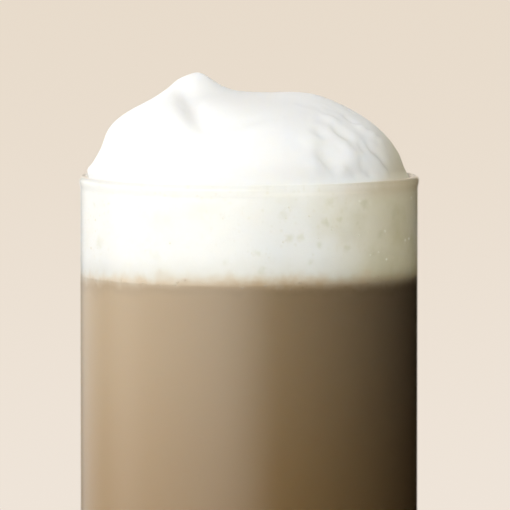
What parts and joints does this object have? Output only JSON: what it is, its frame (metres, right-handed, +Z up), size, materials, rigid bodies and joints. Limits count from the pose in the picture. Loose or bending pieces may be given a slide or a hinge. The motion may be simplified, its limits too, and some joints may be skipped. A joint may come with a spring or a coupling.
{
  "type": "hojicha milk tea",
  "caption": "Straight-sided clear glass of milky brown roasted tea, topped with thick white milk foam that mounds above the rim in a soft peak.",
  "frame": {"origin": "on the table, under the middle of the glass", "axes": "+Z up along the glass's axis, -Y towards the drinker, +X to the drinker's right; the foam's peak leans to -X"},
  "size_m": [0.0684, 0.0684, 0.1386],
  "materials": {
    "glass": "clear, smooth",
    "milk_tea": "cloudy liquid, glossy surface",
    "milk_foam": "dense fine-bubbled milk foam, soft satin"
  },
  "bodies": {
    "root": {"glass": "glass", "milk_tea": "milk_tea", "milk_foam": "milk_foam"}
  },
  "joints": []
}
